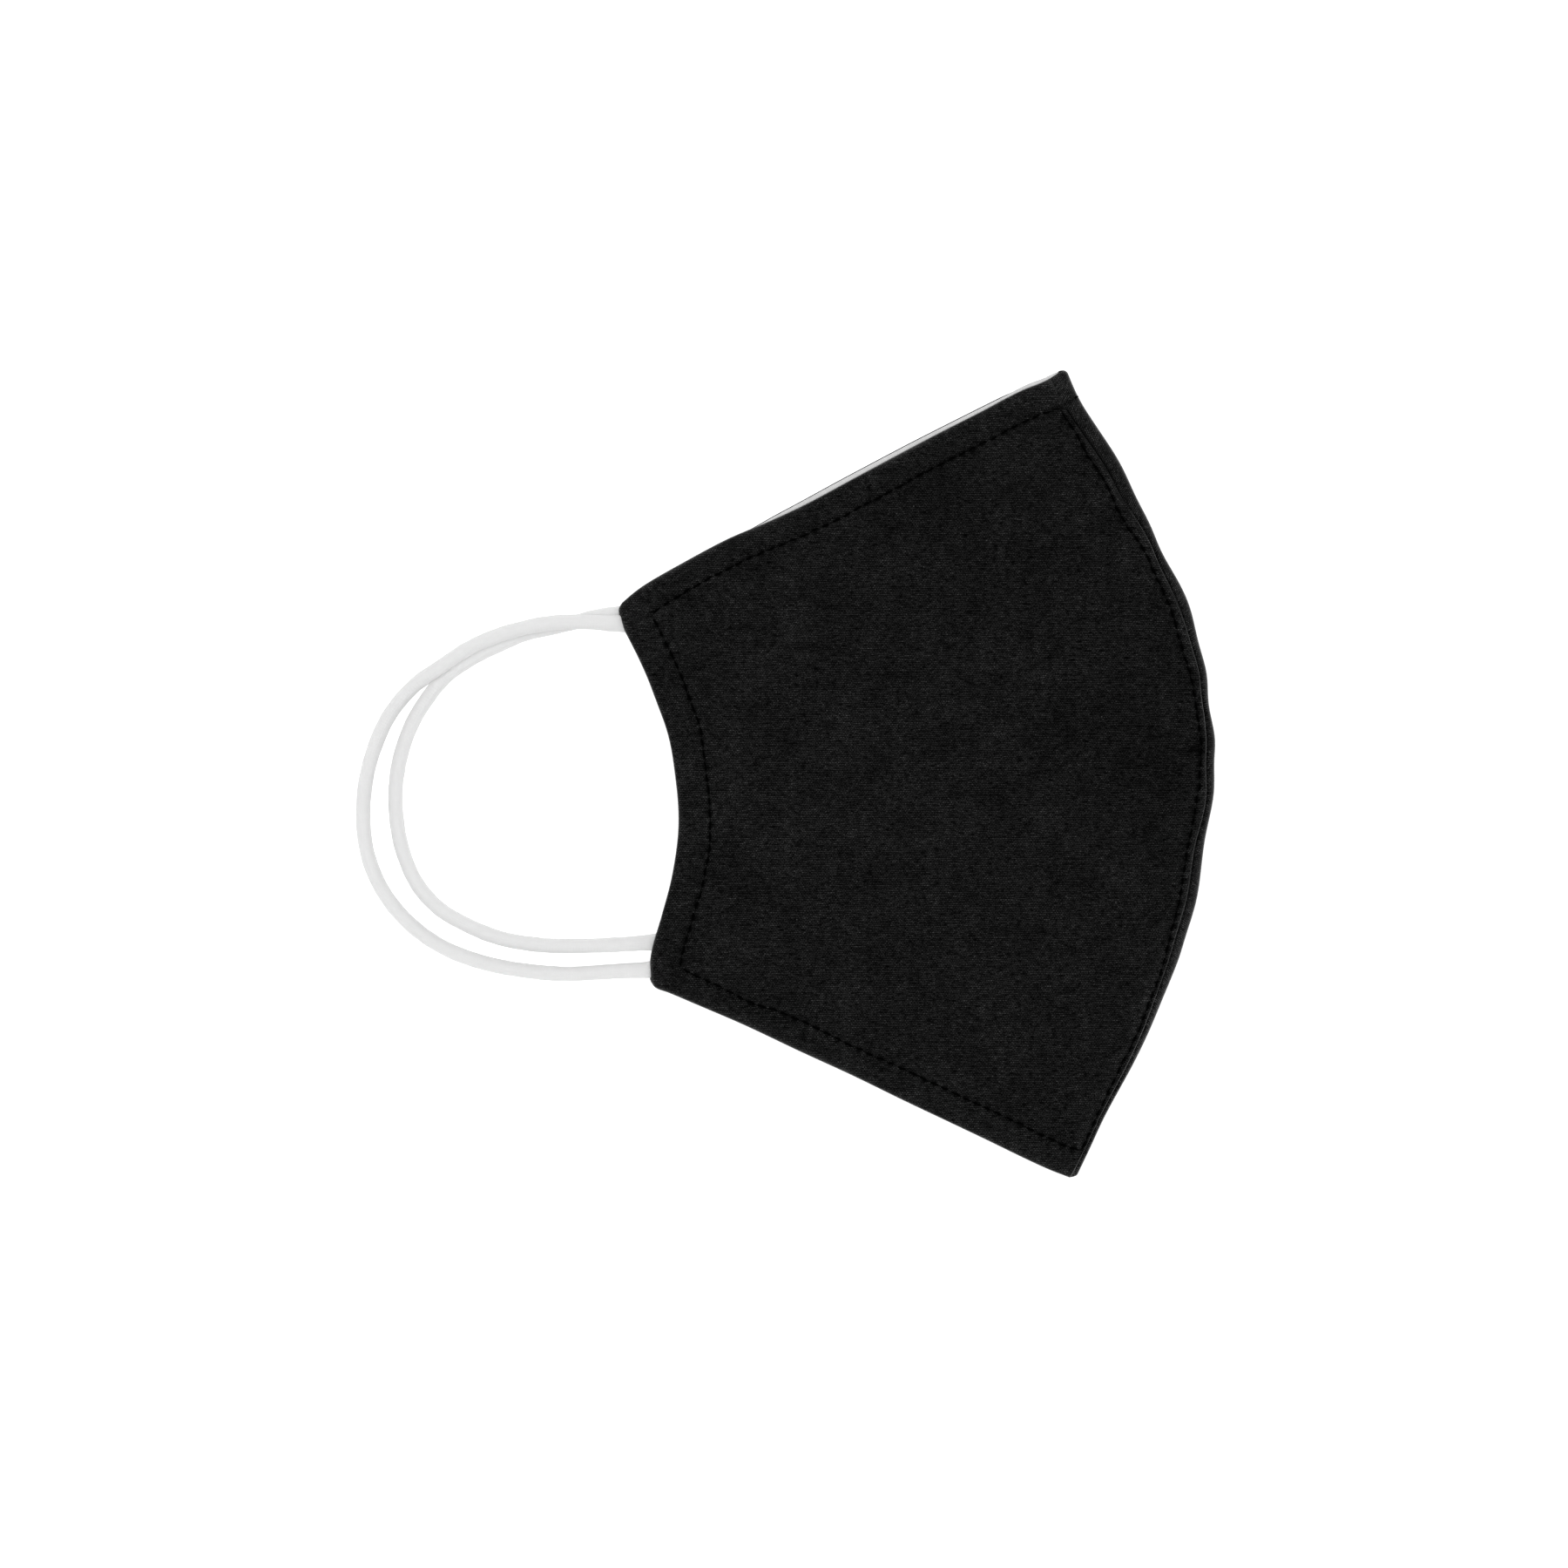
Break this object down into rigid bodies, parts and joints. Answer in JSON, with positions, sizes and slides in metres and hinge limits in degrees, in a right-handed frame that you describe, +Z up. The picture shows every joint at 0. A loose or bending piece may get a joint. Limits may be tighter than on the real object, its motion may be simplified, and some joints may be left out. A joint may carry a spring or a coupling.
{
  "type": "cloth face mask",
  "caption": "Shaped jersey face mask with a white lining and elastic ear loops, folded in half at its centre seam and lying flat.",
  "frame": {"origin": "under the middle of the folded mask without its ear loops, on the surface that it lies on", "axes": "+X from the ear loops to the centre seam, +Y from the chin to the nose, +Z up from the surface"},
  "size_m": [0.1596, 0.15, 0.0121],
  "materials": {
    "black_jersey": "matte cotton jersey with fine horizontal knit rows",
    "white_cotton": "matte white cotton lining",
    "white_elastic": "soft round knitted elastic"
  },
  "bodies": {
    "root": {"shell_near": "black_jersey", "shell_far": "black_jersey", "lining_near": "white_cotton", "lining_far": "white_cotton", "ear_loop_near": "white_elastic", "ear_loop_far": "white_elastic"}
  },
  "joints": []
}
